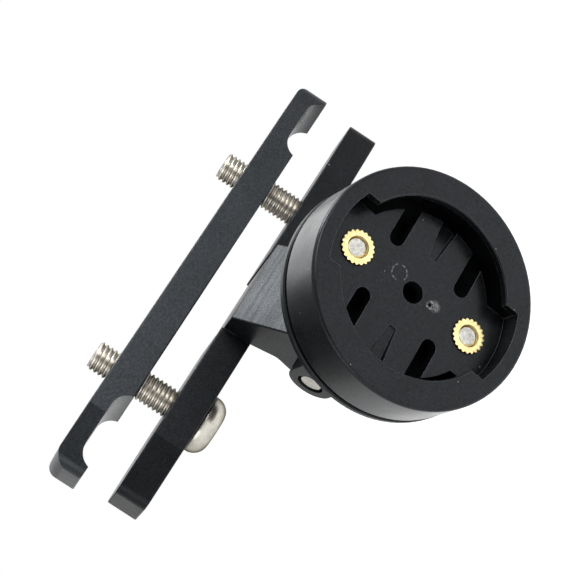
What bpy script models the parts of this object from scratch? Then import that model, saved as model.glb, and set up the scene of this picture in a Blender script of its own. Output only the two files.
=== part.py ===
# Saddle-rail camera mount: two bolted rail plates, a tilting head and a quarter-turn socket.
# Frame: the origin is the centre of the bracket's rail face, +X runs along the plates,
# +Z points to the loose clamp plate, and the head faces -Y.
import math

import bmesh
import bpy
from mathutils import Matrix, Vector

mm = 0.001

# Clearances
seat_gap = 0.25 * mm
screw_clearance = 0.15 * mm
hole_clearance = 0.2 * mm
hinge_side_gap = 0.3 * mm

# Plates
plate_width = 15.4 * mm
plate_tip_width = 10.4 * mm
plate_corner_radius = 2.3 * mm
edge_break = 0.2 * mm
plate_gap = 5.6 * mm
clamp_thickness = 5.45 * mm
clamp_half_length = 40.2 * mm
clamp_crease = 30.2 * mm
clamp_end_radius = 2.7 * mm
bracket_thickness = 5.33 * mm
bracket_half_length = 38.9 * mm
bracket_crease = 28.7 * mm
relief_depth = 0.3 * mm
relief_margin = 0.05 * mm
cut_overrun = 0.03 * mm

# Rail hooks under the clamp plate
hook_shoulder = 25.65 * mm
hook_tip = 38.4 * mm
hook_depth = 2.35 * mm
hook_corner_radius = 2.95 * mm

# Pocket under the clamp plate
pocket_half_length = 15.2 * mm
pocket_rim = 1.5 * mm
pocket_depth = 0.9 * mm

# Clamp bolts
bolt_spacing = 41.4 * mm
bolt_diameter = 5.0 * mm
bolt_end = 14.75 * mm
bolt_end_chamfer = 0.6 * mm
bolt_head_diameter = 10.25 * mm
bolt_head_height = 3.1 * mm
bolt_head_flat = 4.3 * mm
bolt_head_rim = 0.5 * mm
bolt_hex = 3.0 * mm
bolt_hex_depth = 1.7 * mm

# Arm
arm_width = 15.4 * mm
arm_shelf = 12.7 * mm
arm_slope_end = 9.8 * mm
nose_radius = 4.2 * mm
arm_back = 7.7 * mm
arm_heel_back = 8.0 * mm
arm_heel_drop = 12.8 * mm
arm_waist_back = 9.2 * mm
arm_waist_drop = 10.0 * mm
arm_waist_radius = 1.6 * mm

# Hinge
hinge_forward = 16.5 * mm
hinge_drop = 16.0 * mm
head_pitch = math.radians(11.25)
hinge_screw_diameter = 4.0 * mm
hinge_head_diameter = 7.4 * mm
hinge_head_height = 2.2 * mm
hinge_head_flat = 3.2 * mm
hinge_head_rim = 0.35 * mm
hinge_hex = 2.5 * mm
hinge_hex_depth = 1.3 * mm
hinge_end_recess = 0.25 * mm
hinge_end_chamfer = 0.35 * mm

# Quarter-turn ring's outside, which the head base behind it follows
ring_radius = 18.0 * mm

# Head base: disc, step, yoke and ears, measured from the socket's face and centre
face_forward = 26.93 * mm
face_rise = 0.8 * mm
ear_thickness = 3.4 * mm
ear_radius = 3.8 * mm
yoke_reach = 5.6 * mm
disc_overhang = 0.1 * mm
disc_radius = ring_radius + disc_overhang
disc_thickness = 1.2 * mm
step_inset = 0.6 * mm
step_radius = ring_radius - step_inset
step_height = 0.45 * mm
disc_edge_break = 0.2 * mm

# Quarter-turn ring's socket
ring_depth = 8.77 * mm
ring_front_radius = 0.6 * mm
wall_radius = 15.45 * mm
lip_radius = 13.5 * mm
lip_thickness = 1.3 * mm
lip_edge = 0.2 * mm
notch_radius = 15.6 * mm
notch_half_width = 6.05 * mm
bridge_half_width = 6.15 * mm
floor_depth = 3.9 * mm
floor_thickness = 2.0 * mm
floor_radius = 12.5 * mm
centre_hole_radius = 1.7 * mm
slot_width = 2.5 * mm
slot_offset = 6.25 * mm
slot_inner_end = 4.15 * mm
detent_inner = 6.35 * mm
detent_inner_width = 1.3 * mm
detent_outer_width = 3.3 * mm
detent_inner_depth = 0.3 * mm
detent_outer_depth = 1.0 * mm
detent_bottom_share = 0.8

# Inserts and their screws
insert_offset = 10.65 * mm
insert_diameter = 5.0 * mm
insert_length = 4.5 * mm
insert_proud = 0.35 * mm
insert_chamfer = 0.45 * mm
insert_boss_radius = 3.9 * mm
insert_screw_diameter = 3.0 * mm
insert_screw_recess = 0.35 * mm
insert_screw_chamfer = 0.25 * mm
insert_head_diameter = 5.6 * mm
insert_head_height = 1.6 * mm
insert_head_flat = 2.6 * mm
insert_head_rim = 0.3 * mm
insert_hex = 2.0 * mm
insert_hex_depth = 0.9 * mm

# Facets
ring_steps = 96
bolt_steps = 32
small_steps = 28
corner_steps = 6


def make_material(name, colour, metallic, roughness):
    material = bpy.data.materials.new(name)
    material.use_nodes = True
    shader = material.node_tree.nodes["Principled BSDF"]
    shader.inputs["Base Color"].default_value = (*colour, 1.0)
    shader.inputs["Metallic"].default_value = metallic
    shader.inputs["Roughness"].default_value = roughness
    material.diffuse_color = (*colour, 1.0)
    return material


def arc(centre, radius, start, end, steps):
    points = []
    for i in range(steps + 1):
        angle = math.radians(start + (end - start) * i / steps)
        points.append((centre[0] + radius * math.cos(angle), centre[1] + radius * math.sin(angle)))
    return points


def fillet(corners):
    # Each corner is (a, b, radius). A radius of 0 keeps the corner sharp.
    points = []
    count = len(corners)
    for i, (a, b, radius) in enumerate(corners):
        here = Vector((a, b))
        if radius <= 0:
            points.append((a, b))
            continue
        before = Vector(corners[i - 1][:2]) - here
        after = Vector(corners[(i + 1) % count][:2]) - here
        before.normalize()
        after.normalize()
        half = before.angle(after) / 2
        middle = (before + after).normalized()
        centre = here + middle * (radius / math.sin(half))
        reach = radius / math.tan(half)
        first = here + before * reach - centre
        last = here + after * reach - centre
        sweep = first.angle_signed(last)
        for j in range(corner_steps + 1):
            turn = Matrix.Rotation(-sweep * j / corner_steps, 2)
            spot = centre + turn @ first
            points.append((spot.x, spot.y))
    return points


def place(axis, a, b, along):
    # Turns outline coordinates and a distance along the extrusion into a point.
    if axis == "X":
        return (along, a, b)
    if axis == "Y":
        return (a, along, b)
    return (a, b, along)


def prism(outline, axis, low, high, break_width=0.0):
    mesh = bmesh.new()
    loop = [mesh.verts.new(place(axis, a, b, low)) for a, b in outline]
    base = mesh.faces.new(loop)
    grown = bmesh.ops.extrude_face_region(mesh, geom=[base], use_keep_orig=True)
    lifted = [item for item in grown["geom"] if isinstance(item, bmesh.types.BMVert)]
    bmesh.ops.translate(mesh, verts=lifted, vec=place(axis, 0, 0, high - low))
    bmesh.ops.recalc_face_normals(mesh, faces=mesh.faces)
    if break_width > 0:
        caps = [face for face in mesh.faces if len(face.verts) == len(outline)]
        rims = [edge for edge in mesh.edges if any(face in caps for face in edge.link_faces)]
        bmesh.ops.bevel(mesh, geom=rims, offset=break_width, segments=2, profile=0.5,
                        affect="EDGES", clamp_overlap=False, material=-1)
        bmesh.ops.connect_verts_nonplanar(mesh, faces=mesh.faces, angle_limit=math.radians(0.01))
    return mesh


def turned(profile, steps, axis="Z"):
    # Spins a profile of (radius, height) points. One that starts and ends on the axis gets flat end caps.
    mesh = bmesh.new()
    turn_axis = {"X": (1, 0, 0), "Y": (0, 1, 0), "Z": (0, 0, 1)}[axis]
    if axis == "X":
        spots = [(height, radius, 0) for radius, height in profile]
    elif axis == "Y":
        spots = [(radius, height, 0) for radius, height in profile]
    else:
        spots = [(radius, 0, height) for radius, height in profile]
    solid = profile[0][0] == 0 and profile[-1][0] == 0
    if solid:
        spots = spots[1:-1]
    verts = [mesh.verts.new(spot) for spot in spots]
    edges = [mesh.edges.new(pair) for pair in zip(verts, verts[1:])]
    if not solid:
        edges.append(mesh.edges.new((verts[-1], verts[0])))
    bmesh.ops.spin(mesh, geom=verts + edges, cent=(0, 0, 0), axis=turn_axis,
                   angle=2 * math.pi, steps=steps, use_merge=True)
    bmesh.ops.remove_doubles(mesh, verts=mesh.verts, dist=0.0005 * mm)
    if solid:
        bmesh.ops.holes_fill(mesh, edges=mesh.edges, sides=0)
    bmesh.ops.recalc_face_normals(mesh, faces=mesh.faces)
    return mesh


def rod(radius, low, high, steps, axis="Z"):
    circle = [(radius * math.cos(2 * math.pi * i / steps), radius * math.sin(2 * math.pi * i / steps))
              for i in range(steps)]
    return prism(circle, axis, low, high)


def moved(mesh, offset):
    bmesh.ops.translate(mesh, verts=mesh.verts, vec=offset)
    return mesh


def gathered(meshes):
    # Joins separate bodies into one mesh, for a set of cutters that don't touch.
    whole = bmesh.new()
    for mesh in meshes:
        copy = bpy.data.meshes.new("step")
        mesh.to_mesh(copy)
        mesh.free()
        whole.from_mesh(copy)
        bpy.data.meshes.remove(copy)
    return whole


def add_object(name, mesh, material, location=(0, 0, 0), parent=None):
    data = bpy.data.meshes.new(name)
    mesh.to_mesh(data)
    mesh.free()
    data.materials.append(material)
    obj = bpy.data.objects.new(name, data)
    obj.location = location
    obj.parent = parent
    bpy.context.collection.objects.link(obj)
    return obj


def combine(target, operation, mesh):
    # The helper lies in its target's own frame.
    helper = add_object(f"{target.name}_{operation.lower()}", mesh, target.data.materials[0])
    helper.parent = target
    helper.hide_render = True
    helper.display_type = "WIRE"
    step = target.modifiers.new(operation.title(), "BOOLEAN")
    step.operation = operation
    step.object = helper
    step.solver = "EXACT"


def settle(target):
    # Applies the modifiers, removes their helpers and shades the round faces smooth.
    bpy.context.view_layer.update()
    helpers = [step.object for step in target.modifiers]
    graph = bpy.context.evaluated_depsgraph_get()
    data = bpy.data.meshes.new_from_object(target.evaluated_get(graph))
    target.modifiers.clear()
    target.data = data
    data.name = target.name
    for helper in helpers:
        bpy.data.objects.remove(helper)
    mesh = bmesh.new()
    mesh.from_mesh(data)
    bmesh.ops.remove_doubles(mesh, verts=mesh.verts, dist=0.0005 * mm)
    bmesh.ops.dissolve_degenerate(mesh, edges=mesh.edges, dist=0.0005 * mm)
    mesh.to_mesh(data)
    mesh.free()
    data.shade_smooth()
    data.set_sharp_from_angle(angle=math.radians(32))


def plate_outline(half_length, crease):
    half_width = plate_width / 2
    tip = plate_tip_width / 2
    return fillet([
        (crease, half_width, 0),
        (half_length, tip, plate_corner_radius),
        (half_length, -tip, plate_corner_radius),
        (crease, -half_width, 0),
        (-crease, -half_width, 0),
        (-half_length, -tip, plate_corner_radius),
        (-half_length, tip, plate_corner_radius),
        (-crease, half_width, 0),
    ])


def hook_groove(side):
    # Two quarter arcs joined by the groove's floor, for a round rail. They start below the plate's face,
    # so that the cut crosses it.
    rise = hook_depth - hook_corner_radius
    reach = math.sqrt(hook_corner_radius ** 2 - rise ** 2)
    start = math.degrees(math.asin((-rise - edge_break) / hook_corner_radius))
    inner = arc((hook_shoulder + reach, rise), hook_corner_radius, 180 - start, 90, 8)
    outer = arc((hook_tip - reach, rise), hook_corner_radius, 90, start, 8)
    points = [(inner[0][0], -clamp_thickness / 4)] + inner + outer + [(outer[-1][0], -clamp_thickness / 4)]
    outline = [(side * a, b) for a, b in points]
    return prism(outline, "Y", -plate_width, plate_width)


def end_round(side):
    # Waste outside the round at the plate's outer end. The round's centre lies a touch outwards,
    # so that the cut crosses both faces instead of grazing them.
    start = clamp_half_length - clamp_end_radius + cut_overrun
    level = clamp_thickness - clamp_end_radius + cut_overrun
    curve = arc((start, level), clamp_end_radius, 90, 0, 8)
    over = clamp_end_radius / 2
    points = curve + [
        (clamp_half_length + over, level),
        (clamp_half_length + over, clamp_thickness + over),
        (start, clamp_thickness + over),
    ]
    outline = [(side * a, b) for a, b in points]
    return prism(outline, "Y", -plate_width, plate_width)


def pocket():
    half_width = plate_width / 2 - pocket_rim
    outline = fillet([
        (pocket_half_length, half_width, half_width * 0.98),
        (pocket_half_length, -half_width, half_width * 0.98),
        (-pocket_half_length, -half_width, half_width * 0.98),
        (-pocket_half_length, half_width, half_width * 0.98),
    ])
    return prism(outline, "Z", -pocket_depth, pocket_depth)


def button_screw(radius, end, chamfer, head_radius, head_height, flat_radius, rim, hex_size, hex_depth, axis):
    # The head's seat is at 0, its dome below it, and the shank runs up to the end.
    rise = head_height - rim
    span = head_radius - flat_radius
    dome_radius = (rise * rise + span * span) / (2 * span)
    dome_radius = max(dome_radius, rise)
    sweep = math.degrees(math.asin(rise / dome_radius))
    dome = arc((head_radius - dome_radius, -rim), dome_radius, -sweep, 0, 8)
    dome[0] = (flat_radius, -head_height)
    profile = [(0, -head_height)] + dome + [(head_radius, 0), (radius, 0), (radius, end - chamfer)]
    profile += [(radius - chamfer, end), (0, end)]
    screw = turned(profile, bolt_steps if radius > 2.2 * mm else small_steps, axis)
    corner = hex_size / math.sqrt(3)
    outline = [(corner * math.cos(math.radians(60 * i)), corner * math.sin(math.radians(60 * i))) for i in range(6)]
    socket = prism(outline, axis, -head_height * 1.5, -head_height + hex_depth)
    return screw, socket


def add_screw(name, parts, material, location=(0, 0, 0), parent=None):
    screw = add_object(name, parts[0], material, location, parent)
    combine(screw, "DIFFERENCE", parts[1])
    settle(screw)
    return screw


def arm_front():
    return hinge_forward + nose_radius


def arm_outline():
    # Side profile of the arm in (y, z), from the shelf over the nose and back up its rear wall.
    nose = (-hinge_forward, -hinge_drop)
    heel = Vector((-arm_heel_back, -arm_heel_drop))
    to_heel = heel - Vector(nose)
    lean = math.acos(nose_radius / to_heel.length)
    contact = math.degrees(math.atan2(to_heel.y, to_heel.x) - lean)
    under = arc(nose, nose_radius, 180, 360 + contact, 16)
    inside = bracket_thickness / 2
    back = fillet([
        (heel.x, heel.y, 0),
        (-arm_waist_back, -arm_waist_drop, arm_waist_radius),
        (-arm_back, -bracket_thickness, 0),
    ])
    return [(-arm_back + 2 * mm, -relief_depth / 2), (-arm_shelf, -relief_depth / 2),
            (-arm_front(), -arm_slope_end)] + under + back + [(-arm_back, -inside), (-arm_back + 2 * mm, -inside)]


def notch_cutter(side):
    # A notch with parallel sides and an outer end round about the ring's centre.
    reach = math.degrees(math.asin(notch_half_width / notch_radius))
    inner = lip_radius - 3 * lip_thickness
    outline = arc((0, 0), notch_radius, 90 - reach, 90 + reach, 16) + [(-notch_half_width, inner),
                                                                      (notch_half_width, inner)]
    outline = [(side * a, side * b) for a, b in outline]
    return prism(outline, "Y", -lip_thickness, floor_depth + floor_thickness / 2)


def ring_profile():
    front = arc((ring_radius - ring_front_radius, ring_front_radius), ring_front_radius, -90, 0, 4)
    return [(lip_radius, lip_thickness), (lip_radius, lip_edge), (lip_radius + lip_edge, 0)] + front + [
        (ring_radius, ring_depth - edge_break), (ring_radius - edge_break, ring_depth),
        (wall_radius, ring_depth), (wall_radius, lip_thickness)]


def floor_outline():
    # A disc with two wide bridges to the wall below the notches. The bridges' sides are parallel.
    outer = (ring_radius + wall_radius) / 2
    far = math.degrees(math.asin(bridge_half_width / outer))
    near = math.degrees(math.asin(bridge_half_width / floor_radius))
    points = []
    for middle in (90, 270):
        points += arc((0, 0), outer, middle - far, middle + far, 10)
        points += arc((0, 0), floor_radius, middle + near, middle + 180 - near, 40)
    return points


def slot_cutter(side, level):
    # A slot with a round inner end that runs out through the floor's edge.
    half = slot_width / 2
    inner = slot_inner_end + half
    outer = math.sqrt(wall_radius ** 2 - (slot_offset + half) ** 2) - (wall_radius - floor_radius) / 8
    outline = arc((inner, 0), half, 90, 270, 8) + [(outer, -half), (outer, half)]
    outline = [(side * a, b + level * slot_offset) for a, b in outline]
    return prism(outline, "Y", floor_depth - floor_thickness, floor_depth + 2 * floor_thickness)


def detent_cutter(side):
    # A tapering trough: narrow and shallow inside, wide and deep at the floor's edge.
    mesh = bmesh.new()
    over = floor_thickness / 4
    sections = []
    outer = (floor_radius + wall_radius) / 2
    for radius, width, depth in ((detent_inner, detent_inner_width, detent_inner_depth),
                                 (outer, detent_outer_width, detent_outer_depth)):
        top = width / 2 * (1 + over / depth * (1 - detent_bottom_share))
        bottom = width / 2 * detent_bottom_share
        ring = [(top, floor_depth - over), (bottom, floor_depth + depth),
                (-bottom, floor_depth + depth), (-top, floor_depth - over)]
        sections.append([mesh.verts.new((side * radius, y, z)) for z, y in ring])
    mesh.faces.new(sections[0])
    mesh.faces.new(sections[1])
    for i in range(4):
        j = (i + 1) % 4
        mesh.faces.new((sections[0][i], sections[0][j], sections[1][j], sections[1][i]))
    bmesh.ops.triangulate(mesh, faces=mesh.faces, quad_method="FIXED")
    bmesh.ops.recalc_face_normals(mesh, faces=mesh.faces)
    return mesh


for old in list(bpy.data.objects):
    bpy.data.objects.remove(old, do_unlink=True)

anodised = make_material("black_anodised_aluminium", (0.018, 0.019, 0.021), 0.6, 0.42)
moulded = make_material("black_moulded_plastic", (0.02, 0.021, 0.023), 0.0, 0.5)
stainless = make_material("stainless_steel", (0.62, 0.6, 0.57), 1.0, 0.3)
brass = make_material("brass", (0.83, 0.71, 0.38), 1.0, 0.28)

bolt_radius = bolt_diameter / 2
bolt_x = bolt_spacing / 2

# Loose clamp plate, in its own frame with the rail side at 0
clamp = add_object("clamp_plate", prism(plate_outline(clamp_half_length, clamp_crease), "Z", 0, clamp_thickness,
                                        edge_break), anodised, (0, 0, plate_gap))
combine(clamp, "DIFFERENCE", gathered([hook_groove(1), hook_groove(-1)]))
combine(clamp, "DIFFERENCE", gathered([end_round(1), end_round(-1)]))
combine(clamp, "DIFFERENCE", pocket())
tapped_radius = bolt_radius + screw_clearance
combine(clamp, "DIFFERENCE", gathered([
    moved(rod(tapped_radius, -clamp_thickness, 2 * clamp_thickness, bolt_steps), (x, 0, 0)) for x in (-bolt_x, bolt_x)]))
settle(clamp)

# Rail bracket with its arm
bracket = add_object("rail_bracket", prism(plate_outline(bracket_half_length, bracket_crease), "Z",
                                           -bracket_thickness, 0, edge_break), anodised)
combine(bracket, "UNION", prism(arm_outline(), "X", -arm_width / 2, arm_width / 2, edge_break))
relief_half = arm_width / 2 + relief_margin
combine(bracket, "DIFFERENCE", prism(
    [(relief_half, -arm_front()), (relief_half, plate_width),
     (-relief_half, plate_width), (-relief_half, -arm_front())],
    "Z", -relief_depth, bracket_thickness))
through_radius = bolt_radius + hole_clearance
hinge_bore_radius = hinge_screw_diameter / 2 + hole_clearance
bracket_holes = [moved(rod(through_radius, -2 * bracket_thickness, bracket_thickness, bolt_steps), (x, 0, 0))
                 for x in (-bolt_x, bolt_x)]
bracket_holes.append(moved(rod(hinge_bore_radius, -arm_width, arm_width, small_steps, "X"),
                           (0, -hinge_forward, -hinge_drop)))
combine(bracket, "DIFFERENCE", gathered(bracket_holes))
settle(bracket)

# Clamp bolts, heads under the bracket
head_seat = -bracket_thickness - seat_gap
for name, x in (("clamp_bolt_left", -bolt_x), ("clamp_bolt_right", bolt_x)):
    add_screw(name, button_screw(bolt_radius, bolt_end - head_seat, bolt_end_chamfer, bolt_head_diameter / 2,
                                 bolt_head_height, bolt_head_flat / 2, bolt_head_rim, bolt_hex, bolt_hex_depth, "Z"),
              stainless, (x, 0, head_seat))

# The head turns about the hinge: its pieces hang on an empty on the hinge's axis
pivot = bpy.data.objects.new("head_pivot", None)
pivot.location = (0, -hinge_forward, -hinge_drop)
pivot.rotation_euler = (head_pitch, 0, 0)
bpy.context.collection.objects.link(pivot)
face_spot = (0, -face_forward, face_rise)

# Head base, about the hinge's axis
ear_inner = arm_width / 2 + hinge_side_gap
ear_outer = ear_inner + ear_thickness
step_front = -face_forward + ring_depth + seat_gap
disc_front = step_front + step_height
disc_back = disc_front + disc_thickness
disc_profile = [(0, step_front), (step_radius, step_front), (step_radius, disc_front),
                (disc_radius - disc_edge_break, disc_front), (disc_radius, disc_front + disc_edge_break),
                (disc_radius, disc_back - disc_edge_break), (disc_radius - disc_edge_break, disc_back), (0, disc_back)]
base = add_object("head_base", moved(turned(disc_profile, ring_steps, "Y"), (0, 0, face_rise)), anodised,
                  parent=pivot)
yoke_root = disc_back - disc_thickness / 2
yoke_outline = arc((0, 0), ear_radius, 90, -90, 16) + [(yoke_root, -ear_radius), (yoke_root, ear_radius)]
combine(base, "UNION", prism(yoke_outline, "X", -ear_outer, ear_outer, edge_break))
combine(base, "DIFFERENCE", prism([(-ear_inner, -yoke_reach), (ear_inner, -yoke_reach), (ear_inner, 2 * ear_radius),
                                   (-ear_inner, 2 * ear_radius)], "Z", -2 * ear_radius, 2 * ear_radius))
screw_hole_radius = insert_screw_diameter / 2 + hole_clearance
base_holes = [moved(rod(screw_hole_radius, step_front - step_height, disc_back + disc_thickness, small_steps, "Y"),
                    (0, 0, face_rise + side * insert_offset)) for side in (-1, 1)]
base_holes.append(rod(hinge_bore_radius, -2 * ear_outer, 2 * ear_outer, small_steps, "X"))
combine(base, "DIFFERENCE", gathered(base_holes))
settle(base)

# Quarter-turn ring: x and z lie in its face, y is the depth behind the face
ring = add_object("quarter_turn_ring", turned(ring_profile(), ring_steps, "Y"), moulded, face_spot, pivot)
combine(ring, "DIFFERENCE", gathered([notch_cutter(1), notch_cutter(-1)]))
combine(ring, "UNION", prism(floor_outline(), "Y", floor_depth, floor_depth + floor_thickness))
boss_start = floor_depth + floor_thickness / 2
combine(ring, "UNION", gathered([
    moved(rod(insert_boss_radius, boss_start, ring_depth, small_steps, "Y"), (0, 0, side * insert_offset))
    for side in (-1, 1)]))
insert_bore_radius = insert_diameter / 2 + hole_clearance
insert_front = floor_depth - insert_proud
insert_back = insert_front + insert_length
bore_back = insert_back + seat_gap
cuts = [rod(centre_hole_radius, floor_depth - floor_thickness, floor_depth + 2 * floor_thickness, small_steps, "Y")]
for side in (-1, 1):
    bore = turned([(0, insert_front - insert_length), (insert_bore_radius, insert_front - insert_length),
                   (insert_bore_radius, bore_back), (screw_hole_radius, bore_back),
                   (screw_hole_radius, 2 * ring_depth), (0, 2 * ring_depth)], small_steps, "Y")
    cuts.append(moved(bore, (0, 0, side * insert_offset)))
    cuts += [slot_cutter(side, -1), slot_cutter(side, 1)]
combine(ring, "DIFFERENCE", gathered(cuts))
combine(ring, "DIFFERENCE", gathered([detent_cutter(1), detent_cutter(-1)]))
settle(ring)

# Inserts and the screws that hold the ring from behind
insert_radius = insert_diameter / 2
insert_hole = insert_screw_diameter / 2 + screw_clearance
insert_profile = [(insert_hole, 0 + insert_chamfer), (insert_hole + insert_chamfer, 0),
                  (insert_radius, 0), (insert_radius, insert_length), (insert_hole, insert_length)]
screw_seat = disc_back + seat_gap
screw_length = screw_seat + face_forward - (insert_front + insert_screw_recess)
for name, side in (("upper", 1), ("lower", -1)):
    insert = add_object(f"insert_{name}", turned(insert_profile, small_steps, "Y"), brass,
                        (0, insert_front - face_forward, face_rise + side * insert_offset), pivot)
    settle(insert)
    body, socket = button_screw(insert_screw_diameter / 2, screw_length, insert_screw_chamfer,
                                insert_head_diameter / 2, insert_head_height, insert_head_flat / 2,
                                insert_head_rim, insert_hex, insert_hex_depth, "Y")
    flip = Matrix.Rotation(math.pi, 4, "X")
    for mesh in (body, socket):
        bmesh.ops.transform(mesh, matrix=flip, verts=mesh.verts)
    add_screw(f"insert_screw_{name}", (body, socket), stainless,
              (0, screw_seat, face_rise + side * insert_offset), pivot)

# Hinge screw: its head lies on the far ear and its end shows in the near one
hinge_seat = ear_outer + seat_gap
hinge_length = hinge_seat + ear_outer - hinge_end_recess
body, socket = button_screw(hinge_screw_diameter / 2, hinge_length, hinge_end_chamfer, hinge_head_diameter / 2,
                            hinge_head_height, hinge_head_flat / 2, hinge_head_rim, hinge_hex, hinge_hex_depth, "X")
flip = Matrix.Rotation(math.pi, 4, "Z")
for mesh in (body, socket):
    bmesh.ops.transform(mesh, matrix=flip, verts=mesh.verts)
add_screw("hinge_bolt", (body, socket), stainless, (hinge_seat, 0, 0), pivot)
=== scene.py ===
import math

import bmesh
import bpy
from mathutils import Matrix, Vector


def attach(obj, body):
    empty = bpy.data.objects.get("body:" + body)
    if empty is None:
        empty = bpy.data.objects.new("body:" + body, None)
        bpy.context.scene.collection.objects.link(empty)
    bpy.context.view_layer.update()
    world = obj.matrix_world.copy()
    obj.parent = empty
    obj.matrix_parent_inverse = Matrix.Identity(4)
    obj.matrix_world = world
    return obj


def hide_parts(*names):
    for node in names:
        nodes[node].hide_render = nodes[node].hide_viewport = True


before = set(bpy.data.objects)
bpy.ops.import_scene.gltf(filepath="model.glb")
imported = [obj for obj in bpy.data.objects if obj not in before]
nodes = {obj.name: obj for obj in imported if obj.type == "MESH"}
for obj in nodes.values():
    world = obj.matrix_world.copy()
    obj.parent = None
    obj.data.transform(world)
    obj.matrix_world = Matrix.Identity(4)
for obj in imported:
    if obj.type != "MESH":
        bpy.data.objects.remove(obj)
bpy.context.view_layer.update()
print("frame loaded:", len(nodes), "solids")

mm = 0.001


# camera at the photograph's angle

camera = {
    "lens": 97.46,
    "sensor": 36.0,
    "clipStart": 0.01,
    "clipEnd": 20.0,
    "place": (-0.103904, -0.238705, 0.005986),
    "right": (0.4816, -0.2678, -0.8345),
    "up": (0.7669, -0.3320, 0.5492),
}

sideways = Vector(camera["right"]).normalized()
backwards = sideways.cross(Vector(camera["up"])).normalized()
upwards = backwards.cross(sideways)
cameraTurn = Matrix((sideways, upwards, backwards)).transposed().to_4x4()
cameraData = bpy.data.cameras.new("photo_camera")
cameraData.lens = camera["lens"]
cameraData.sensor_width = camera["sensor"]
cameraData.sensor_height = camera["sensor"]
cameraData.clip_start = camera["clipStart"]
cameraData.clip_end = camera["clipEnd"]
cameraObject = bpy.data.objects.new("photo_camera", cameraData)
cameraObject.matrix_world = Matrix.Translation(camera["place"]) @ cameraTurn
bpy.context.scene.collection.objects.link(cameraObject)
bpy.context.scene.camera = cameraObject
bpy.context.scene.view_settings.view_transform = "Standard"
print("camera set")


# materials

def hexColour(text):
    # an sRGB hex value as the linear colour that a socket holds
    parts = [int(text[i:i + 2], 16) / 255 for i in (1, 3, 5)]
    linear = [c / 12.92 if c <= 0.04045 else ((c + 0.055) / 1.055) ** 2.4 for c in parts]
    return (*linear, 1.0)


def addNode(tree, kind, settings=None, values=None, links=None):
    # adds a node, sets its properties and input values, and links other nodes' sockets to its inputs
    node = tree.nodes.new(kind)
    for name, value in (settings or {}).items():
        setattr(node, name, value)
    for socket, value in (values or {}).items():
        node.inputs[socket].default_value = value
    for socket, source in (links or {}).items():
        tree.links.new(source, node.inputs[socket])
    return node


def newMaterial(name, values):
    material = bpy.data.materials.new(name)
    material.use_nodes = True
    shader = material.node_tree.nodes["Principled BSDF"]
    for socket, value in values.items():
        shader.inputs[socket].default_value = value
    return material, material.node_tree, shader


def perMm(size):
    # texture scale at which one cell of the pattern is that many mm
    return 1 / (size * mm)


# a colour Mix node's inputs and output, its setting, and the smooth ramp of a Map Range node
mixA, mixB, mixOut = 6, 7, 2
ofColours = {"data_type": "RGBA"}
smooth = {"interpolation_type": "SMOOTHSTEP"}


def mottledColour(tree, look, place):
    # two close shades mixed by wide clouds and a fine grain
    cloud = addNode(tree, "ShaderNodeTexNoise", None, {
        "Scale": perMm(look["cloudMm"]), "Detail": look["cloudDetail"], "Roughness": look["cloudRough"],
    }, {"Vector": place}).outputs["Fac"]
    grain = addNode(tree, "ShaderNodeTexNoise", None, {
        "Scale": perMm(look["grainMm"]), "Detail": 3.0, "Roughness": look["grainRough"],
    }, {"Vector": place}).outputs["Fac"]
    cloudPart = addNode(tree, "ShaderNodeMath", {"operation": "MULTIPLY"}, {1: look["cloudShare"]},
                        {0: cloud}).outputs[0]
    shade = addNode(tree, "ShaderNodeMath", {"operation": "MULTIPLY_ADD"}, {1: 1 - look["cloudShare"]},
                    {0: grain, 2: cloudPart}).outputs[0]
    step = addNode(tree, "ShaderNodeMapRange", smooth, {"From Min": 0.36, "From Max": 0.64},
                   {"Value": shade}).outputs["Result"]
    body = addNode(tree, "ShaderNodeMix", ofColours,
                   {mixA: hexColour(look["dark"]), mixB: hexColour(look["light"])}, {0: step}).outputs[mixOut]
    return {"cloud": cloud, "grain": grain, "cloudPart": cloudPart, "shade": shade, "colour": body}


def dustSpecks(tree, look, place):
    # a small round speck in some cells of a pattern
    cells = addNode(tree, "ShaderNodeTexVoronoi", None, {"Scale": perMm(look["dustMm"])}, {"Vector": place})
    speck = addNode(tree, "ShaderNodeMapRange", smooth, {
        "From Min": look["speckOuter"], "From Max": look["speckInner"], "To Max": look["speckShare"],
    }, {"Value": cells.outputs["Distance"]}).outputs["Result"]
    lot = addNode(tree, "ShaderNodeSeparateColor", links={"Color": cells.outputs["Color"]}).outputs["Red"]
    chosen = addNode(tree, "ShaderNodeMath", {"operation": "GREATER_THAN"}, {1: look["speckFree"]},
                     {0: lot}).outputs[0]
    return addNode(tree, "ShaderNodeMath", {"operation": "MULTIPLY"}, None,
                   {0: speck, 1: chosen}).outputs[0]


def brokenEdges(tree, look):
    # the normal of slightly rounded edges, and where those edges are, the mask of a painted highlight
    rounded = addNode(tree, "ShaderNodeBevel", {"samples": 6},
                      {"Radius": look["edgeMm"] * mm}).outputs["Normal"]
    flat = addNode(tree, "ShaderNodeNewGeometry").outputs["Normal"]
    level = addNode(tree, "ShaderNodeVectorMath", {"operation": "DOT_PRODUCT"}, None,
                    {0: rounded, 1: flat}).outputs["Value"]
    edge = addNode(tree, "ShaderNodeMapRange", smooth, {
        "From Min": 0.99, "From Max": 0.9, "To Max": look["edgeHighlightShare"],
    }, {"Value": level}).outputs["Result"]
    return rounded, edge


def grainyShine(tree, look, grain):
    # specular level that sparkles a little with the grain
    return addNode(tree, "ShaderNodeMapRange", None, {
        "From Min": 0.3, "From Max": 0.7,
        "To Min": look["specular"] - look["specularGrain"],
        "To Max": look["specular"] + look["specularGrain"],
    }, {"Value": grain}).outputs["Result"]


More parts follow.
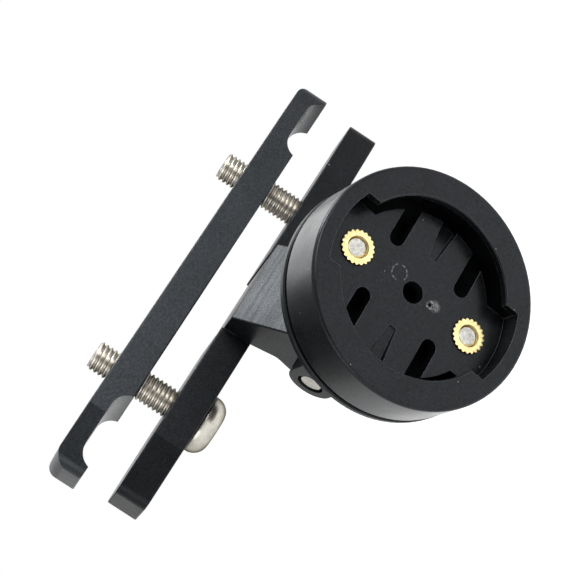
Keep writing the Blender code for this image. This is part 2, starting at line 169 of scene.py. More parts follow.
clampLook = {
    "dark": "#17191b",
    "light": "#26282b",
    "roughness": 0.31,
    "specular": 0.27,
    "specularGrain": 0.07,
    "tint": "#e2e9f2",
    "grainMm": 0.3,
    "grainRough": 0.75,
    "grainDepth": 0.000012,
    "cloudMm": 7.0,
    "cloudDetail": 4.0,
    "cloudRough": 0.5,
    "cloudShare": 0.3,
    "lineMm": 0.35,
    "lineStretch": (0.03, 1.0, 1.0),
    "lineShare": 0.35,
    "edgeMm": 0.14,
    "edge": "#55585c",
    "edgeHighlightShare": 0.5,
    "dustMm": 2.6,
    "dust": "#9b9da0",
    "speckOuter": 0.05,
    "speckInner": 0.025,
    "speckShare": 0.7,
    "speckFree": 0.72,
}
# the bracket's darker, less shiny copy of the clamp plate's finish is painted shade, for the reflections the
# ring and arm block
bracketLook = {
    **clampLook,
    "dark": "#070809",
    "light": "#111214",
    "roughness": 0.36,
    "specular": 0.16,
    "specularGrain": 0.05,
}
baseLook = {
    **bracketLook,
    "dark": "#090a0b",
    "light": "#151618",
    "specular": 0.17,
    "cloudMm": 5.0,
}


def blackAnodisedAluminium(name, look):
    # aluminium, bead blasted and anodised black: an even satin black that goes pale at a flat angle,
    # with a fine grain, faint cutter lines, a few pale specks and thin lighter lines on its edges, a painted
    # highlight;
    # the blasted grain is drawn about four times coarser than the real one, which the picture can't hold
    material, tree, shader = newMaterial(name, {
        "IOR": 1.5, "Specular IOR Level": look["specular"], "Specular Tint": hexColour(look["tint"]),
    })
    place = addNode(tree, "ShaderNodeTexCoord").outputs["Object"]
    mottle = mottledColour(tree, look, place)
    along = addNode(tree, "ShaderNodeMapping", None, {"Scale": look["lineStretch"]},
                    {"Vector": place}).outputs["Vector"]
    lines = addNode(tree, "ShaderNodeTexNoise", None, {"Scale": perMm(look["lineMm"]), "Detail": 2.0},
                    {"Vector": along}).outputs["Fac"]
    dust = dustSpecks(tree, look, place)
    dusty = addNode(tree, "ShaderNodeMix", ofColours, {mixB: hexColour(look["dust"])},
                    {0: dust, mixA: mottle["colour"]}).outputs[mixOut]
    # painted highlight: a lighter colour along the edges, inner corners included
    rounded, edge = brokenEdges(tree, look)
    coloured = addNode(tree, "ShaderNodeMix", ofColours, {mixB: hexColour(look["edge"])},
                       {0: edge, mixA: dusty}).outputs[mixOut]
    tree.links.new(coloured, shader.inputs["Base Color"])
    wear = addNode(tree, "ShaderNodeMath", {"operation": "MULTIPLY_ADD"}, {1: 0.5},
                   {0: lines, 2: mottle["cloudPart"]}).outputs[0]
    gloss = addNode(tree, "ShaderNodeMapRange", None, {
        "From Min": 0.25, "From Max": 0.55,
        "To Min": look["roughness"] - 0.05, "To Max": look["roughness"] + 0.06,
    }, {"Value": wear}).outputs["Result"]
    tree.links.new(gloss, shader.inputs["Roughness"])
    tree.links.new(grainyShine(tree, look, mottle["grain"]), shader.inputs["Specular IOR Level"])
    height = addNode(tree, "ShaderNodeMath", {"operation": "MULTIPLY_ADD"}, {1: look["lineShare"]},
                     {0: lines, 2: mottle["grain"]}).outputs[0]
    bump = addNode(tree, "ShaderNodeBump", None, {"Strength": 0.35, "Distance": look["grainDepth"]},
                   {"Height": height, "Normal": rounded}).outputs["Normal"]
    tree.links.new(bump, shader.inputs["Normal"])
    return material


clampAnodised = blackAnodisedAluminium("black_anodised_clamp_plate", clampLook)
bracketAnodised = blackAnodisedAluminium("black_anodised_bracket", bracketLook)
baseAnodised = blackAnodisedAluminium("black_anodised_head_base", baseLook)
print("anodised aluminium made")


# the head's own frame: x to the right in the socket's face, y up in it, z out of it

head = {
    "face": (0.0, -43.0686, -20.46915),
    "pitch": math.radians(11.25),
    "pivot": (0.0, -16.5, -16.0),
}

outward = Vector((0.0, -math.cos(head["pitch"]), -math.sin(head["pitch"])))
faceUp = Vector((0.0, -math.sin(head["pitch"]), math.cos(head["pitch"])))
headTurn = Matrix(((1, 0, 0), faceUp, outward)).transposed().to_4x4()
headFrame = Matrix.Translation(Vector(head["face"]) * mm) @ headTurn

# the marks lie on the socket's floor: right, up and depth in the head's frame, then their size
ringLook = {
    "dark": "#070808",
    "light": "#121315",
    "roughness": 0.27,
    "specular": 0.24,
    "specularGrain": 0.06,
    "tint": "#e2e9f2",
    "grainMm": 0.32,
    "grainRough": 0.75,
    "grainDepth": 0.000012,
    "cloudMm": 5.0,
    "cloudDetail": 5.0,
    "cloudRough": 0.5,
    "cloudShare": 0.35,
    "edgeMm": 0.13,
    "edge": "#6a6c70",
    "edgeHighlightShare": 0.6,
    "cornerMm": 2.2,
    "cornerShine": 0.12,
    "dustMm": 2.1,
    "speckOuter": 0.055,
    "speckInner": 0.03,
    "speckShare": 0.6,
    "speckFree": 0.7,
    "paleMarkAndHighlight": "#9ea09f",
    "patchMm": 0.5,
    "gate": (0.17, -3.23, 3.9),
    "gateMm": 0.3,
    "pitShade": "#010101",
    "craterMm": 0.55,
    "lipHighlightShare": 0.75,
    "craterDepth": 14.0,
    "smear": (0.45, -4.0, 3.9),
    "smearMm": 1.2,
    "smearShare": 0.95,
    "ejector": (1.2, 3.28, 3.9),
    "ejectorMm": 1.25,
    "ejectorLineMm": 0.16,
    "ejectorDotMm": 0.42,
    "ejectorShare": 0.45,
}


def mouldMarks(tree, look, place):
    # on the socket's floor: the gate's pit with a painted shade, its crater lip with a painted highlight, its
    # pale smear, and an ejector pin's broken circle
    patchy = addNode(tree, "ShaderNodeTexNoise", None, {
        "Scale": perMm(look["patchMm"]), "Detail": 4.0, "Roughness": 0.7,
    }, {"Vector": place}).outputs["Fac"]
    away = {}
    for key in ("gate", "smear", "ejector"):
        right, up, depth = look[key]
        spot = headFrame @ (Vector((right, up, -depth)) * mm)
        away[key] = addNode(tree, "ShaderNodeVectorMath", {"operation": "DISTANCE"}, {1: spot},
                            {0: place}).outputs["Value"]
    ragged = addNode(tree, "ShaderNodeMath", {"operation": "MULTIPLY_ADD"}, {1: 0.9 * mm},
                     {0: patchy, 2: away["smear"]}).outputs[0]
    wide = addNode(tree, "ShaderNodeMapRange", smooth, {
        "From Min": (look["smearMm"] + 0.45) * mm, "From Max": 0.4 * mm, "To Max": look["smearShare"],
    }, {"Value": ragged}).outputs["Result"]
    broken = addNode(tree, "ShaderNodeMapRange", smooth, {"From Min": 0.4, "From Max": 0.58},
                     {"Value": patchy}).outputs["Result"]
    smear = addNode(tree, "ShaderNodeMath", {"operation": "MULTIPLY"}, None, {0: wide, 1: broken}).outputs[0]

    fromCircle = addNode(tree, "ShaderNodeMath", {"operation": "SUBTRACT"}, {1: look["ejectorMm"] * mm},
                         {0: away["ejector"]}).outputs[0]
    fromLine = addNode(tree, "ShaderNodeMath", {"operation": "ABSOLUTE"}, None, {0: fromCircle}).outputs[0]
    line = addNode(tree, "ShaderNodeMapRange", smooth, {
        "From Min": look["ejectorLineMm"] * mm, "From Max": look["ejectorLineMm"] / 8 * mm,
        "To Max": look["ejectorShare"],
    }, {"Value": fromLine}).outputs["Result"]
    dotted = addNode(tree, "ShaderNodeTexNoise", None, {"Scale": perMm(look["ejectorDotMm"]), "Detail": 2.0},
                     {"Vector": place}).outputs["Fac"]
    dots = addNode(tree, "ShaderNodeMapRange", smooth, {"From Min": 0.44, "From Max": 0.62},
                   {"Value": dotted}).outputs["Result"]
    circle = addNode(tree, "ShaderNodeMath", {"operation": "MULTIPLY"}, None, {0: line, 1: dots}).outputs[0]

    # painted highlight: a pale ring on the crater's lip, mixed with the real smear and ejector circle
    fromLip = addNode(tree, "ShaderNodeMath", {"operation": "SUBTRACT"}, {1: look["craterMm"] * mm},
                      {0: away["gate"]}).outputs[0]
    offLip = addNode(tree, "ShaderNodeMath", {"operation": "ABSOLUTE"}, None, {0: fromLip}).outputs[0]
    lip = addNode(tree, "ShaderNodeMapRange", smooth, {
        "From Min": 0.2 * mm, "From Max": 0.04 * mm, "To Max": look["lipHighlightShare"],
    }, {"Value": offLip}).outputs["Result"]
    brokenLip = addNode(tree, "ShaderNodeMath", {"operation": "MULTIPLY"}, None,
                        {0: lip, 1: broken}).outputs[0]
    smearAndLipHighlight = addNode(tree, "ShaderNodeMath", {"operation": "MAXIMUM"}, None,
                        {0: smear, 1: brokenLip}).outputs[0]
    marks = addNode(tree, "ShaderNodeMath", {"operation": "MAXIMUM"}, None,
                    {0: smearAndLipHighlight, 1: circle}).outputs[0]
    pit = addNode(tree, "ShaderNodeMapRange", smooth, {
        "From Min": look["gateMm"] * mm, "From Max": 0.6 * look["gateMm"] * mm,
    }, {"Value": away["gate"]}).outputs["Result"]
    crater = addNode(tree, "ShaderNodeMapRange", smooth, {
        "From Min": 0.1 * mm, "From Max": 0.75 * mm, "To Max": look["craterDepth"],
    }, {"Value": away["gate"]}).outputs["Result"]
    return marks, circle, pit, crater


def blackMouldedNylon(name, look):
    # glass-filled nylon from a spark-eroded mould: satin black with a fine even grain, a few pale specks,
    # the marks of its mould with a painted shade in the gate's pit and a painted highlight on its lip,
    # and light lines on its edges, which are a painted highlight;
    # the eroded grain is drawn coarser than the real one, which the picture can't hold
    material, tree, shader = newMaterial(name, {
        "IOR": 1.5, "Specular IOR Level": look["specular"], "Specular Tint": hexColour(look["tint"]),
    })
    place = addNode(tree, "ShaderNodeTexCoord").outputs["Object"]
    mottle = mottledColour(tree, look, place)
    dust = dustSpecks(tree, look, place)
    marks, circle, pit, crater = mouldMarks(tree, look, place)
    pale = addNode(tree, "ShaderNodeMath", {"operation": "MAXIMUM"}, None, {0: marks, 1: dust}).outputs[0]
    marked = addNode(tree, "ShaderNodeMix", ofColours, {mixB: hexColour(look["paleMarkAndHighlight"])},
                     {0: pale, mixA: mottle["colour"]}).outputs[mixOut]
    # painted shade: a near-black dot stands for the shade inside the gate's pit
    pitted = addNode(tree, "ShaderNodeMix", ofColours, {mixB: hexColour(look["pitShade"])},
                     {0: pit, mixA: marked}).outputs[mixOut]
    # painted highlight: a lighter colour along the edges, inner corners included
    rounded, edge = brokenEdges(tree, look)
    coloured = addNode(tree, "ShaderNodeMix", ofColours, {mixB: hexColour(look["edge"])},
                       {0: edge, mixA: pitted}).outputs[mixOut]
    tree.links.new(coloured, shader.inputs["Base Color"])
    gloss = addNode(tree, "ShaderNodeMapRange", None, {
        "From Min": 0.3, "From Max": 0.7,
        "To Min": look["roughness"] - 0.04, "To Max": look["roughness"] + 0.05,
    }, {"Value": mottle["cloud"]}).outputs["Result"]
    tree.links.new(gloss, shader.inputs["Roughness"])

    # painted shade: ambient occlusion cuts the specular level, so walls of slots, notches and the groove
    # under the lips stay dark, and the pit gets none
    openness = addNode(tree, "ShaderNodeAmbientOcclusion", {"samples": 8},
                       {"Distance": look["cornerMm"] * mm}).outputs["AO"]
    openShare = addNode(tree, "ShaderNodeMapRange", smooth, {
        "From Min": 0.35, "From Max": 0.85, "To Min": look["cornerShine"],
    }, {"Value": openness}).outputs["Result"]
    unpitted = addNode(tree, "ShaderNodeMath", {"operation": "SUBTRACT"}, {0: 1.0}, {1: pit}).outputs[0]
    share = addNode(tree, "ShaderNodeMath", {"operation": "MULTIPLY"}, None,
                    {0: openShare, 1: unpitted}).outputs[0]
    shine = addNode(tree, "ShaderNodeMath", {"operation": "MULTIPLY"}, None,
                    {0: grainyShine(tree, look, mottle["grain"]), 1: share}).outputs[0]
    tree.links.new(shine, shader.inputs["Specular IOR Level"])
    relief = addNode(tree, "ShaderNodeMath", {"operation": "MULTIPLY_ADD"}, {1: 2.0},
                     {0: circle, 2: crater}).outputs[0]
    height = addNode(tree, "ShaderNodeMath", {"operation": "ADD"}, None,
                     {0: mottle["grain"], 1: relief}).outputs[0]
    bump = addNode(tree, "ShaderNodeBump", None, {"Strength": 0.4, "Distance": look["grainDepth"]},
                   {"Height": height, "Normal": rounded}).outputs["Normal"]
    tree.links.new(bump, shader.inputs["Normal"])
    return material


ringNylon = blackMouldedNylon("black_moulded_nylon", ringLook)
print("moulded nylon made")


screwLook = {
    "light": "#dbd7cd",
    "dark": "#bfbab0",
    "rootShade": "#6f6a61",
    "flatAngle": "#8f8b82",
    "roughness": 0.32,
    "cloudMm": 1.6,
    "cloudDetail": 4.0,
    "cloudRough": 0.6,
    "cloudShare": 0.5,
    "grainMm": 0.3,
    "grainRough": 0.5,
    "grainDepth": 0.000005,
    "rootMm": 0.45,
}
headLook = {
    **screwLook,
    "light": "#b3b0a7",
    "dark": "#a5a29a",
    "flatAngle": "#5b5850",
    "cloudMm": 3.0,
    "grainMm": 0.8,
    "roughness": 0.28,
}
tipLook = {
    **screwLook,
    "light": "#dcdbd5",
    "dark": "#b9b8b2",
    "cloudMm": 0.7,
    "grainMm": 0.22,
    "roughness": 0.38,
}
endLook = {
    **tipLook,
    "light": "#bfbeb8",
    "dark": "#908f8a",
}
brassLook = {
    **screwLook,
    "light": "#e9d9a4",
    "dark": "#d2bd83",
    "rootShade": "#7a6536",
    "flatAngle": "#c2ab72",
    "roughness": 0.3,
    "cloudMm": 0.9,
    "grainMm": 0.25,
    "rootMm": 0.3,
}


def bareMetal(name, look):
    # uncoated turned or rolled metal: soft shine that darkens at flat angles, faint dull patches,
    # a fine grain, and painted shade where thread roots and knurls close in
    material, tree, shader = newMaterial(name, {
        "Metallic": 1.0, "Specular Tint": hexColour(look["flatAngle"]),
    })
    place = addNode(tree, "ShaderNodeTexCoord").outputs["Object"]
    mottle = mottledColour(tree, look, place)
    openness = addNode(tree, "ShaderNodeAmbientOcclusion", {"samples": 8, "only_local": True},
                       {"Distance": look["rootMm"] * mm}).outputs["AO"]
    outOfRootShade = addNode(tree, "ShaderNodeMapRange", smooth, {"From Min": 0.2, "From Max": 0.7},
                    {"Value": openness}).outputs["Result"]
    # painted shade: a darker colour where ambient occlusion finds thread roots and knurls closing in
    coloured = addNode(tree, "ShaderNodeMix", ofColours, {mixA: hexColour(look["rootShade"])},
                       {0: outOfRootShade, mixB: mottle["colour"]}).outputs[mixOut]
    tree.links.new(coloured, shader.inputs["Base Color"])
    gloss = addNode(tree, "ShaderNodeMapRange", None, {
        "From Min": 0.35, "From Max": 0.65,
        "To Min": look["roughness"] + 0.06, "To Max": look["roughness"] - 0.05,
    }, {"Value": mottle["shade"]}).outputs["Result"]
    tree.links.new(gloss, shader.inputs["Roughness"])
    bump = addNode(tree, "ShaderNodeBump", None, {"Strength": 0.2, "Distance": look["grainDepth"]},
                   {"Height": mottle["grain"]}).outputs["Normal"]
    tree.links.new(bump, shader.inputs["Normal"])
    return material


screwSteel = bareMetal("stainless_screw_steel", screwLook)
headSteel = bareMetal("stainless_screw_head", headLook)
tipSteel = bareMetal("stainless_cut_end", tipLook)
endSteel = bareMetal("stainless_insert_screw_end", endLook)
insertBrass = bareMetal("turned_brass", brassLook)
print("steel and brass made")


# pieces

weldGap = 0.0005 * mm


def finishPiece(mesh, name, materials, body, place=Matrix(), smoothAngle=35.0):
    bmesh.ops.remove_doubles(mesh, verts=mesh.verts, dist=weldGap)
    bmesh.ops.recalc_face_normals(mesh, faces=mesh.faces)
    bmesh.ops.transform(mesh, matrix=place, verts=mesh.verts)
    data = bpy.data.meshes.new(name)
    mesh.to_mesh(data)
    mesh.free()
    for material in materials:
        data.materials.append(material)
    # a copied solid brings the normals of its unmerged faces along
    if "custom_normal" in data.attributes:
        data.attributes.remove(data.attributes["custom_normal"])
    data.shade_smooth()
    data.set_sharp_from_angle(angle=math.radians(smoothAngle))
    piece = bpy.data.objects.new(name, data)
    bpy.context.scene.collection.objects.link(piece)
    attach(piece, body)
    return piece


# in degrees: the plates' creases turn by 14 and stay sharp, while each facet of the ring's rounded
# front edge turns by 22.5 and is smoothed
smoothAngles = {"plate": 13.4, "round": 32.0}


def smoothCopy(name, node, material, body, smoothAngle):
    # the solid itself, merged and smooth on its round faces; flat faces keep flat shading by their area
    mesh = bmesh.new()
    mesh.from_mesh(nodes[node].data)
    for face in mesh.faces:
        face.material_index = 0
    piece = finishPiece(mesh, name, [material], body, nodes[node].matrix_world.copy(), smoothAngle)
    weight = piece.modifiers.new("Face weight", "WEIGHTED_NORMAL")
    weight.keep_sharp = True
    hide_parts(node)
    return piece


smoothCopy("satin_clamp_plate", "clamp_plate", clampAnodised, "clamp",
           smoothAngles["plate"])
smoothCopy("satin_rail_bracket", "rail_bracket", bracketAnodised, "bracket",
           smoothAngles["plate"])
smoothCopy("satin_head_base", "head_base", baseAnodised, "head", smoothAngles["round"])
smoothCopy("grained_quarter_turn_ring", "quarter_turn_ring", ringNylon, "head",
           smoothAngles["round"])
print("plates and ring dressed")


# a thread's ridge, in shares of the pitch from its middle, and the drop from crest to shoulder in mm
threadForm = {"middle": 0.53, "crest": 0.07, "shoulder": 0.15, "root": 0.45, "shoulderDrop": 0.06}


def threadedShank(size, steps):
    # one turn of thread spun up the shank, cut flat at both ends, with a chamfered tip
    pitch = size["pitch"]
    crest = size["radius"]
    root = crest - size["threadDepth"]
    shoulder = crest - threadForm["shoulderDrop"]
    ridge = [(root, "root"), (shoulder, "shoulder"), (crest, "crest")]
    profile = [(root, 0.0)]
    profile += [(radius, threadForm["middle"] - threadForm[part]) for radius, part in ridge]
    profile += [(radius, threadForm["middle"] + threadForm[part]) for radius, part in reversed(ridge)]
    profile += [(root, 1.0)]
    # it starts two turns early and ends two turns late, and the cuts take the rest off
    mesh = bmesh.new()
    verts = [mesh.verts.new((radius * mm, 0.0, ((share - 2) * pitch + size["start"]) * mm))
             for radius, share in profile]
    edges = [mesh.edges.new(pair) for pair in zip(verts, verts[1:])]
    turns = int((size["end"] - size["start"]) / pitch) + 4
    bmesh.ops.spin(mesh, geom=verts + edges, cent=(0, 0, 0), axis=(0, 0, 1), dvec=(0, 0, pitch * mm / steps),
                   angle=2 * math.pi * turns, steps=steps * turns, use_merge=False)
    bmesh.ops.remove_doubles(mesh, verts=mesh.verts, dist=2 * weldGap)
    for level, side in ((size["start"], -1), (size["end"], 1)):
        bmesh.ops.bisect_plane(mesh, geom=mesh.verts[:] + mesh.edges[:] + mesh.faces[:], dist=0.0001 * mm,
                               plane_co=(0, 0, level * mm), plane_no=(0, 0, side), clear_outer=True)
        rim = [edge for edge in mesh.edges
               if edge.is_boundary and all(abs(v.co.z - level * mm) < 0.01 * mm for v in edge.verts)]
        bmesh.ops.holes_fill(mesh, edges=rim, sides=0)
    for vert in mesh.verts:
        wide = math.hypot(vert.co.x, vert.co.y)
        limit = (crest - max(0.0, vert.co.z / mm - (size["end"] - size["tip"]))) * mm
        if wide > limit:
            vert.co.x *= limit / wide
            vert.co.y *= limit / wide
    caps = [face for face in mesh.faces if len(face.verts) > 6]
    for face in caps:
        if face.calc_center_median().z > size["start"] * mm + 0.1 * mm:
            face.material_index = 1
    bmesh.ops.triangulate(mesh, faces=caps)
    return mesh


# facets along the dome's profile, and the small round between its side and its seat in mm
headForm = {"domeSteps": 16, "seatEdge": 0.12}


def buttonHead(mesh, size, steps):
    # domed head with a hexagon socket, its seat at height 0
    rise = size["headHeight"] - size["headRim"]
    span = size["headRadius"] - size["headFlat"]
    dome = (rise * rise + span * span) / (2 * span)
    sweep = math.asin(min(1.0, rise / dome))
    centre = size["headRadius"] - dome
    points = []
    for i in range(headForm["domeSteps"] + 1):
        angle = sweep * (1 - i / headForm["domeSteps"])
        points.append((centre + dome * math.cos(angle), -size["headRim"] - dome * math.sin(angle)))
    points[0] = (size["headFlat"], -size["headHeight"])
    points[-1] = (size["headRadius"], -size["headRim"])
    seatEdge = headForm["seatEdge"]
    points += [(size["headRadius"], -seatEdge), (size["headRadius"] - 0.3 * seatEdge, -0.3 * seatEdge),
               (size["headRadius"] - seatEdge, 0.0), (0.0, 0.0)]
    shank = set(mesh.faces)
    verts = [mesh.verts.new((radius * mm, 0.0, height * mm)) for radius, height in points]
    edges = [mesh.edges.new(pair) for pair in zip(verts, verts[1:])]
    bmesh.ops.spin(mesh, geom=verts + edges, cent=(0, 0, 0), axis=(0, 0, 1), angle=2 * math.pi, steps=steps,
                   use_merge=True)
    bmesh.ops.remove_doubles(mesh, verts=mesh.verts, dist=weldGap)
    top = -size["headHeight"] * mm
    outer = [edge for edge in mesh.edges
             if edge.is_boundary and all(abs(v.co.z - top) < 0.001 * mm for v in edge.verts)]
    corner = size["hex"] / math.sqrt(3) * mm
    hexagon = bmesh.ops.create_circle(mesh, cap_ends=False, segments=6, radius=corner,
                                      matrix=Matrix.Translation((0, 0, top)))["verts"]
    inner = list({edge for vert in hexagon for edge in vert.link_edges})
    bmesh.ops.triangle_fill(mesh, use_beauty=True, use_dissolve=False, edges=outer + inner)
    walls = bmesh.ops.extrude_edge_only(mesh, edges=inner)["geom"]
    lowered = [item for item in walls if isinstance(item, bmesh.types.BMVert)]
    bmesh.ops.translate(mesh, verts=lowered, vec=(0, 0, size["hexDepth"] * mm))
    floorEdges = [item for item in walls
                  if isinstance(item, bmesh.types.BMEdge) and all(vert in lowered for vert in item.verts)]
    floor = bmesh.ops.contextual_create(mesh, geom=floorEdges)["faces"]
    point = bmesh.ops.poke(mesh, faces=floor)["verts"]
    bmesh.ops.translate(mesh, verts=point, vec=(0, 0, 0.3 * size["hex"] * mm))
    for face in mesh.faces:
        if face not in shank:
            face.material_index = 2
    return mesh


clampBolt = {
    "radius": 2.5,
    "pitch": 0.8,
    "threadDepth": 0.4,
    "start": -0.4,
    "end": 20.33,
    "tip": 0.35,
    "headRadius": 5.0,
    "headHeight": 2.95,
    "headFlat": 2.1,
    "headRim": 0.35,
    "hex": 3.0,
    "hexDepth": 1.7,
    "seat": -5.58,
    "apart": 20.7,
    "steps": 40,
}
hingeScrew = {
    "radius": 2.0,
    "pitch": 0.7,
    "threadDepth": 0.36,
    "start": -0.3,
    "end": 22.8,
    "tip": 0.3,
    "headRadius": 3.7,
    "headHeight": 2.2,
    "headFlat": 1.6,
    "headRim": 0.35,
    "hex": 2.5,
    "hexDepth": 1.3,
    "seat": 11.65,
    "steps": 32,
}
insertScrew = {
    "radius": 1.5,
    "pitch": 0.5,
    "threadDepth": 0.27,
    "start": -0.3,
    "end": 7.02,
    "tip": 0.12,
    "headRadius": 2.8,
    "headHeight": 1.6,
    "headFlat": 1.3,
    "headRim": 0.3,
    "hex": 2.0,
    "hexDepth": 0.9,
    "seat": 10.92,
    "offset": 10.65,
    "steps": 28,
}


def makeScrew(name, size, node, body, place, endMaterial):
    mesh = threadedShank(size, size["steps"])
    buttonHead(mesh, size, size["steps"] + 16)
    piece = finishPiece(mesh, name, [screwSteel, endMaterial, headSteel], body, place)
    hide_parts(node)
    return piece


for side, word in ((-1, "left"), (1, "right")):
    place = Matrix.Translation((side * clampBolt["apart"] * mm, 0, clampBolt["seat"] * mm))
    makeScrew(f"threaded_clamp_bolt_{word}", clampBolt, f"clamp_bolt_{word}", f"bolt_{word}", place, tipSteel)
hingeSeat = Vector((hingeScrew["seat"], head["pivot"][1], head["pivot"][2])) * mm
hingePlace = Matrix.Translation(hingeSeat) @ Matrix.Rotation(-math.pi / 2, 4, "Y")
makeScrew("threaded_hinge_screw", hingeScrew, "hinge_bolt", "head", hingePlace, tipSteel)
for side, word in ((1, "upper"), (-1, "lower")):
    place = headFrame @ Matrix.Translation((0, side * insertScrew["offset"] * mm, -insertScrew["seat"] * mm))
    makeScrew(f"threaded_insert_screw_{word}", insertScrew, f"insert_screw_{word}", "head", place, endSteel)
print("screws made")


knurledInsert = {
    "teeth": 21,
    "toothSteps": 6,
    "radius": 2.66,
    "toothDepth": 0.24,
    "toothSharpness": 1.4,
    "front": 3.55,
    "length": 4.5,
    "bore": 1.56,
    "faceInset": 0.12,
    "faceRise": 0.05,
    "step": 1.72,
    "stepSlope": 0.06,
    "stepDepth": 0.08,
    "coneDepth": 0.25,
}


def makeInsert(name, node, side, size):
    # knurled brass sleeve: a toothed rim, a flat face, then a shallow step and a countersink round the screw
    mesh = bmesh.new()
    rim = bmesh.ops.create_circle(mesh, cap_ends=False, segments=size["teeth"] * size["toothSteps"],
                                  radius=size["radius"] * mm)["verts"]
    for vert in rim:
        angle = math.atan2(vert.co.y, vert.co.x) * size["teeth"]
        dip = size["toothDepth"] * (0.5 - 0.5 * math.cos(angle)) ** size["toothSharpness"]
        scale = 1 - dip / size["radius"]
        vert.co.x *= scale
        vert.co.y *= scale
    loop = list({edge for vert in rim for edge in vert.link_edges})

    def ring(edges, radius, rise):
        # the next loop of the profile; with no radius it keeps the width of the last one
        grown = bmesh.ops.extrude_edge_only(mesh, edges=edges)["geom"]
        verts = [item for item in grown if isinstance(item, bmesh.types.BMVert)]
        for vert in verts:
            flat = math.hypot(vert.co.x, vert.co.y)
            wanted = radius * mm if radius else flat
            vert.co.x *= wanted / flat
            vert.co.y *= wanted / flat
            vert.co.z += rise * mm
        return [item for item in grown
                if isinstance(item, bmesh.types.BMEdge) and all(vert in verts for vert in item.verts)]

    # outside, down the teeth and round the back
    edges = ring(loop, None, -size["length"])
    edges = ring(edges, size["bore"], 0.0)
    edges = ring(edges, None, size["length"] - size["coneDepth"])
    # face: a slightly broken edge, the flat, the step and the cone down to the bore
    inner = ring(loop, size["radius"] - size["toothDepth"] - size["faceInset"], size["faceRise"])
    inner = ring(inner, size["step"], 0.0)
    inner = ring(inner, size["step"] - size["stepSlope"], -size["stepDepth"])
    inner = ring(inner, size["bore"], size["stepDepth"] - size["faceRise"] - size["coneDepth"])
    place = headFrame @ Matrix.Translation((0, side * insertScrew["offset"] * mm, -size["front"] * mm))
    piece = finishPiece(mesh, name, [insertBrass], "head", place, 30.0)
    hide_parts(node)
    return piece


for side, word in ((1, "upper"), (-1, "lower")):
    makeInsert(f"knurled_insert_{word}", f"insert_{word}", side, knurledInsert)
print("inserts made")


# floor, sky and lamps

studio = {
    "floorLevel": -0.1,
    "floorRadius": 1.6,
    "floor": "#d0d0d0",
    "floorGlow": 0.76,
    "sky": 0.45,
    "lens": {"towards": (-0.44, -0.89, 0.07), "from": 0.82, "to": 0.97, "shade": 0.8},
    "flag": {"towards": (-0.50, 0.75, 0.45), "from": 0.86, "to": 0.94, "shade": 0.75},
    "middle": (0.0, -0.02, -0.005),
}
white = (1.0, 1.0, 1.0, 1.0)

floorMesh = bmesh.new()
bmesh.ops.create_circle(floorMesh, cap_ends=True, segments=96, radius=studio["floorRadius"],
                        matrix=Matrix.Translation((0, 0, studio["floorLevel"])))
floorData = bpy.data.meshes.new("studio_floor")
floorMesh.to_mesh(floorData)
floorMesh.free()
floorObject = bpy.data.objects.new("studio_floor", floorData)
bpy.context.scene.collection.objects.link(floorObject)


def mirrorRays(tree):
    # light path, and whether a ray is seen in metal, in a gloss or through glass
    path = addNode(tree, "ShaderNodeLightPath")
    mirrored = addNode(tree, "ShaderNodeMath", {"operation": "MAXIMUM"}, None, {
        0: path.outputs["Is Glossy Ray"], 1: path.outputs["Is Transmission Ray"],
    }).outputs[0]
    return path.outputs["Is Camera Ray"], mirrored


# white paper: it keeps the object's shadow, and to the camera and in reflections it is as white as the sky
floorMaterial, tree, shader = newMaterial("white_paper", {
    "Base Color": hexColour(studio["floor"]), "Roughness": 0.9, "Specular IOR Level": 0.1,
    "Emission Color": white,
})
direct, mirrored = mirrorRays(tree)
seen = addNode(tree, "ShaderNodeMath", {"operation": "MAXIMUM"}, None, {0: direct, 1: mirrored}).outputs[0]
glow = addNode(tree, "ShaderNodeMath", {"operation": "MULTIPLY"}, {1: studio["floorGlow"]},
               {0: seen}).outputs[0]
tree.links.new(glow, shader.inputs["Emission Strength"])
floorData.materials.append(floorMaterial)

world = bpy.data.worlds.new("white_studio")
bpy.context.scene.world = world
world.use_nodes = True
tree = world.node_tree
background = tree.nodes["Background"]
background.inputs["Color"].default_value = white
direct, mirrored = mirrorRays(tree)
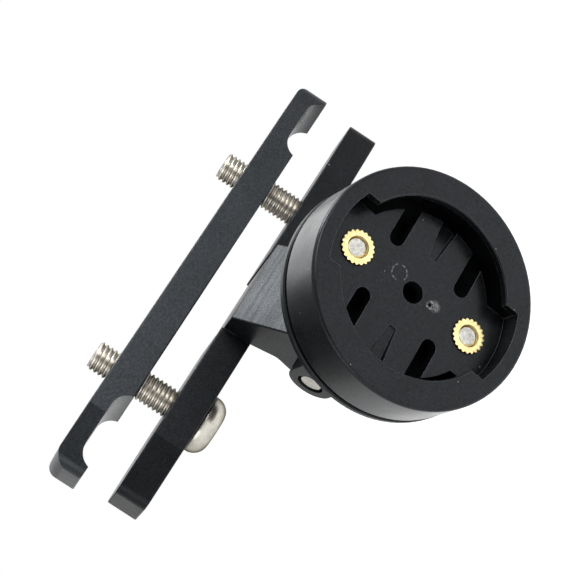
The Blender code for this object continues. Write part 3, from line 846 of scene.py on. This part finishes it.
# the dark camera and a black flag behind the object, which only reflections show
towards = addNode(tree, "ShaderNodeTexCoord").outputs["Generated"]
inMirror = mirrored
for dark in (studio["lens"], studio["flag"]):
    near = addNode(tree, "ShaderNodeVectorMath", {"operation": "DOT_PRODUCT"},
                   {1: Vector(dark["towards"]).normalized()}, {0: towards}).outputs["Value"]
    left = addNode(tree, "ShaderNodeMapRange", smooth, {
        "From Min": dark["from"], "From Max": dark["to"], "To Min": 1.0, "To Max": 1.0 - dark["shade"],
    }, {"Value": near}).outputs["Result"]
    inMirror = addNode(tree, "ShaderNodeMath", {"operation": "MULTIPLY"}, None,
                       {0: inMirror, 1: left}).outputs[0]
shown = addNode(tree, "ShaderNodeMath", {"operation": "MAXIMUM"}, None, {0: direct, 1: inMirror}).outputs[0]
# other rays get the sky's own strength
lit = addNode(tree, "ShaderNodeMath", {"operation": "MAXIMUM"}, {1: studio["sky"]}, {0: shown}).outputs[0]
strength = addNode(tree, "ShaderNodeMix", {"data_type": "FLOAT"}, None, {0: mirrored, 2: lit, 3: inMirror})
tree.links.new(strength.outputs[0], background.inputs["Strength"])

lamps = {
    "top_softbox": {"towards": (0.41, -0.20, 0.89), "away": 0.42, "size": 0.16, "watts": 2.2},
    "front_softbox": {"towards": (0.26, -0.90, 0.34), "away": 0.45, "size": 0.20, "watts": 1.0},
    "back_softbox": {"towards": (0.30, 0.76, 0.55), "away": 0.45, "size": 0.26, "watts": 0.4},
    "left_softbox": {"towards": (-0.90, -0.40, 0.04), "away": 0.45, "size": 0.30, "watts": 0.6},
}

for name, lamp in lamps.items():
    data = bpy.data.lights.new(name, "AREA")
    data.shape = "SQUARE"
    data.size = lamp["size"]
    data.energy = lamp["watts"]
    lampObject = bpy.data.objects.new(name, data)
    towards = Vector(lamp["towards"]).normalized()
    lampObject.location = Vector(studio["middle"]) + towards * lamp["away"]
    lampObject.rotation_euler = towards.to_track_quat("Z", "Y").to_euler()
    lampObject.visible_camera = False
    bpy.context.scene.collection.objects.link(lampObject)
print("studio set")
